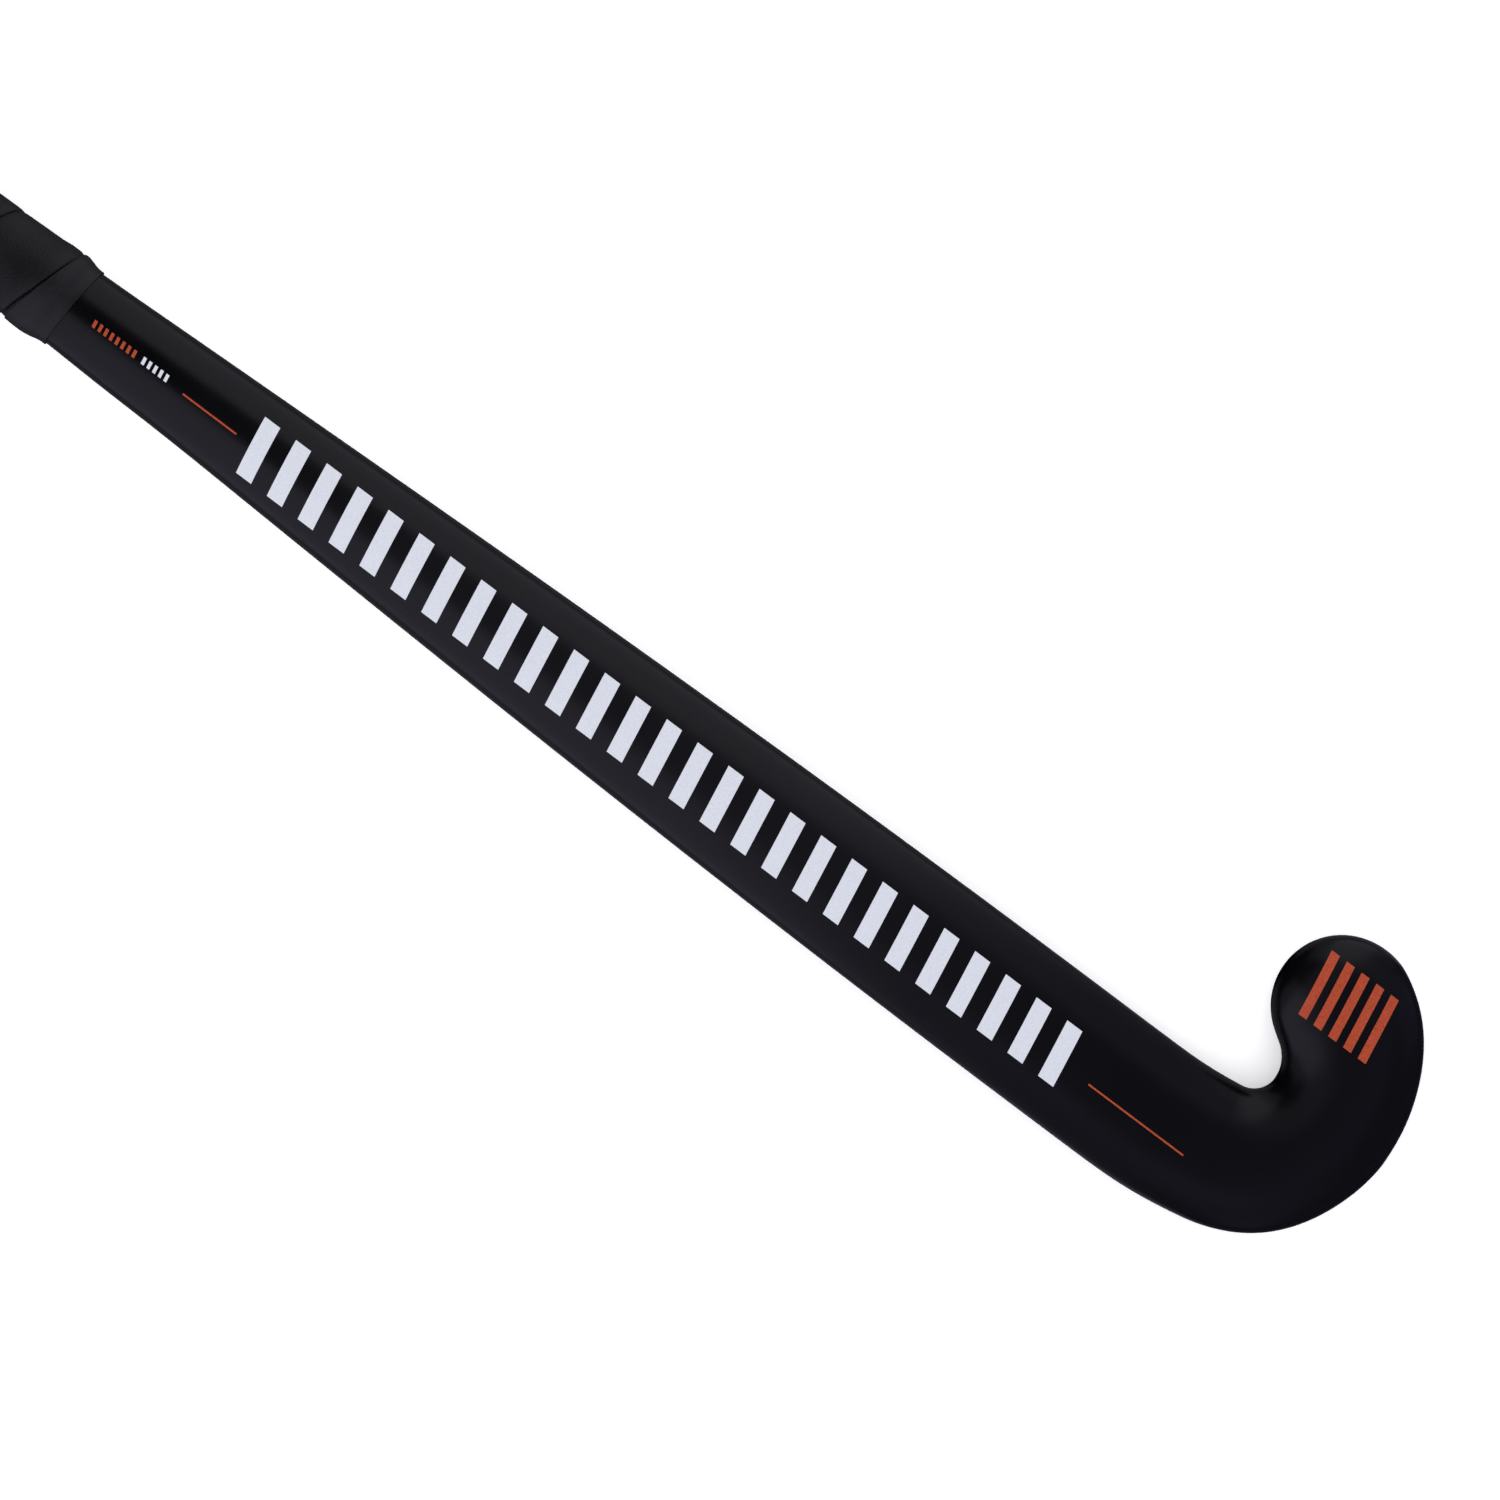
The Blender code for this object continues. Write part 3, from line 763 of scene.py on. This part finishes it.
cap = copy_of("butt_cap", "butt_end_cap")
cap_low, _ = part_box("butt_cap")
end_x = cap_low.x + WELD
select_where(cap, "FACE", lambda face: face.normal.x < END_FACING and face.center.x < end_x)
bpy.ops.mesh.inset(thickness=RING_OUT)
bpy.ops.mesh.inset(thickness=RING_WIDE / 4, depth=-RING_DEEP)
bpy.ops.mesh.inset(thickness=RING_WIDE)
bpy.ops.mesh.inset(thickness=RING_WIDE / 4, depth=RING_DEEP)
bpy.ops.object.mode_set(mode="OBJECT")
round_off(cap, CAP_ROUNDING, CAP_SHARPNESS)
finish_piece(cap, make_moulded_rubber(), "cap_rubber", "butt_cap")


# The two inner tubes are braided carbon sleeves on bladders, cured inside the shell, and the
# reinforcement is a stack of woven aramid plies in clear resin behind the playing face.
CARBON_TOW = 2 * MM
ARAMID_TOW = 1.5 * MM
CLOTH_ON_BIAS = math.radians(45)
THREADS_PER_TOW = 4.0


def make_woven_cloth(name, dark, pale, tow, roughness):
    """Woven cloth set in resin: flat tows over and under each other in a plain weave."""
    material, shader, place = start_material(name, pale, roughness)
    turned = add_node(
        material,
        "ShaderNodeMapping",
        {"Rotation": (0.0, 0.0, CLOTH_ON_BIAS), "Scale": (1 / tow, 1 / tow, 1 / tow)},
        {"Vector": (place, "Object")},
    )
    squares = add_node(
        material, "ShaderNodeTexChecker", {"Scale": 1.0}, {"Vector": (turned, "Vector")}
    )
    squares.inputs["Color1"].default_value = linear(dark)
    squares.inputs["Color2"].default_value = linear(pale)
    threads = add_node(
        material,
        "ShaderNodeTexWave",
        {"bands_direction": "DIAGONAL", "Scale": THREADS_PER_TOW, "Distortion": 0.6},
        {"Vector": (turned, "Vector")},
    )
    bump = add_node(
        material,
        "ShaderNodeBump",
        {"Strength": 0.3, "Distance": 0.1 * MM},
        {"Height": (threads, "Fac")},
    )
    links = material.node_tree.links
    links.new(squares.outputs["Color"], shader.inputs["Base Color"])
    links.new(bump.outputs["Normal"], shader.inputs["Normal"])
    return material


def dress_node(name, material):
    """Put a material on a CAD node that is shown as it is."""
    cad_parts[name].material_slots[0].material = material


carbon = make_woven_cloth("braided_carbon_in_epoxy", "#0E0F11", "#24252A", CARBON_TOW, 0.35)
dress_node("inner_tube_toe_side", carbon)
dress_node("inner_tube_heel_side", carbon)
aramid = make_woven_cloth("woven_aramid_in_epoxy", "#8A6414", "#C8992C", ARAMID_TOW, 0.5)
dress_node("head_reinforcement", aramid)


# The head's core and the butt plug are closed-cell foams: a hard white one that the plies of the
# hook are laid up on, and a yellowed polyurethane one cut to length and pushed up the handle.
CORE_CELL = 0.6 * MM
PLUG_CELL = 0.5 * MM


def make_closed_cell_foam(name, dark, pale, cell):
    """Closed-cell foam as cut: pale and dull, with small open cells whose hollows are painted
    darker, as painted shade.
    """
    material, shader, place = start_material(name, pale, 0.85)
    cells = add_node(
        material, "ShaderNodeTexVoronoi", {"Scale": 1 / cell}, {"Vector": (place, "Object")}
    )
    # The colour is darkest at each cell's middle, where its pit is deepest: painted shade in the
    # open cells.
    tint = add_node(material, "ShaderNodeValToRGB", {}, {"Fac": (cells, "Distance")})
    tint.color_ramp.elements[0].position = 0.1
    tint.color_ramp.elements[0].color = linear(dark)
    tint.color_ramp.elements[1].position = 0.5
    tint.color_ramp.elements[1].color = linear(pale)
    bump = add_node(
        material,
        "ShaderNodeBump",
        {"Strength": 0.5, "Distance": 0.15 * MM},
        {"Height": (cells, "Distance")},
    )
    links = material.node_tree.links
    links.new(tint.outputs["Color"], shader.inputs["Base Color"])
    links.new(bump.outputs["Normal"], shader.inputs["Normal"])
    return material


# Each foam's first colour is the painted shade in the hollows of its cells, and its second is the
# foam's own colour.
core_foam = make_closed_cell_foam("hard_core_foam", "#B5AC93", "#D8D0B8", CORE_CELL)
dress_node("head_core", core_foam)
plug_foam = make_closed_cell_foam("polyurethane_foam", "#B59F68", "#D6C28C", PLUG_CELL)
dress_node("butt_plug", plug_foam)


# The photographer's table is a plain pale sheet of matt paper, faintly lit from below. Large
# softboxes hang along both sides of the stick, and small ones over it and beyond its head.
TABLE_SIZE = 30.0
TABLE_BELOW = 0.2 * MM
# The camera looks straight down. A pixel of the photograph is PIXEL wide on the stick, whose axis
# is turned by PHOTO_TURN in it, and VIEW_CENTRE is its middle from the head's end.
PHOTO_WIDTH = 1500
PIXEL = 0.325 * MM
LENS = 200.0
SENSOR = 36.0
FARTHEST_SEEN = 50.0
PHOTO_TURN = math.radians(36.96)
VIEW_CENTRE = (-246.3 * MM, 16.9 * MM)
VIEW_HEIGHT = 15 * MM
SOFTBOX_AWAY = 0.9
bpy.ops.object.select_all(action="DESELECT")
bpy.ops.mesh.primitive_plane_add(size=TABLE_SIZE, location=(0.0, 0.0, -TABLE_BELOW))
table = bpy.context.object
table.name = "table"
paper, _, _ = start_material("white_paper", "#F7F7F8", 0.9, Emission_Strength=0.25)
paper.node_tree.nodes["Principled BSDF"].inputs["Emission Color"].default_value = linear("#FFFFFF")
table.data.materials.append(paper)
table.visible_glossy = False

bpy.ops.object.camera_add(
    location=(
        HEAD_X + VIEW_CENTRE[0],
        CENTRE_Y + VIEW_CENTRE[1],
        VIEW_HEIGHT + PHOTO_WIDTH * PIXEL * LENS / SENSOR,
    ),
    rotation=(0.0, 0.0, PHOTO_TURN),
)
camera = bpy.context.object
camera.data.lens = LENS
camera.data.sensor_width = SENSOR
camera.data.clip_end = FARTHEST_SEEN
bpy.context.scene.camera = camera


def add_softbox(name, high, low, start, end, glow, colour, turn=0.0):
    """A flat softbox along the stick, between two angles from straight up towards the toe's side.

    A turn of 90 degrees puts it across the stick, beyond the head.
    """
    middle = math.radians((high + low) / 2)
    width = 2 * SOFTBOX_AWAY * math.tan(math.radians(abs(low - high) / 2))
    about = Euler((0.0, 0.0, math.radians(-turn))).to_matrix()
    away = Vector((0.0, math.sin(middle), math.cos(middle))) * SOFTBOX_AWAY
    place = Vector(((start + end) / 2, 0.0, 0.0)) + away
    bpy.ops.object.light_add(
        type="AREA", location=about @ place, rotation=(-middle, 0.0, math.radians(-turn))
    )
    light = bpy.context.object
    light.name = name
    light.data.shape = "RECTANGLE"
    light.data.size = end - start
    light.data.size_y = width
    light.data.energy = math.pi * glow * width * (end - start)
    light.data.color = linear(colour)[:3]
    light.visible_camera = False


add_softbox("heel_side_grip", -13, -112, -1.2, -0.35, 0.22, "#E9E5FF")
add_softbox("heel_side", -13, -112, -0.35, 0.32, 0.55, "#E9E5FF")
add_softbox("heel_side_end", -13, -112, 0.32, 0.60, 0.18, "#DED6FF")
add_softbox("heel_side_far", -13, -112, 0.60, 1.60, 0.10, "#DED6FF")
add_softbox("toe_side_grip", 28, 112, -1.2, -0.35, 0.22, "#F5F0FF")
add_softbox("toe_side", 28, 112, -0.35, 0.38, 0.46, "#F5F0FF")
add_softbox("toe_side_end", 28, 112, 0.38, 0.70, 0.18, "#E6DEFF")
add_softbox("toe_side_far", 28, 112, 0.70, 1.60, 0.10, "#DED6FF")
add_softbox("overhead", -13, 28, -0.06, 0.44, 0.18, "#ECE8FF")
add_softbox("overhead_end", -35, 35, 0.42, 0.90, 0.085, "#DDD2FF")
add_softbox("beyond_head", 38, 100, -0.90, 0.90, 0.10, "#DDD2FF", 90)
add_softbox("beyond_head_low", 100, 160, -0.90, 0.90, 0.05, "#DDD2FF", 90)
add_softbox("heel_floor", -112, -162, -1.2, 0.60, 0.12, "#F2EFFF")
add_softbox("toe_floor", 112, 162, -1.2, 0.60, 0.12, "#F2EFFF")

world = bpy.data.worlds.new("studio")
world.use_nodes = True
world.node_tree.nodes["Background"].inputs["Color"].default_value = linear("#FFFFFF")
world.node_tree.nodes["Background"].inputs["Strength"].default_value = 1.2
world.cycles_visibility.glossy = False
bpy.context.scene.world = world
bpy.context.scene.view_settings.view_transform = "Standard"
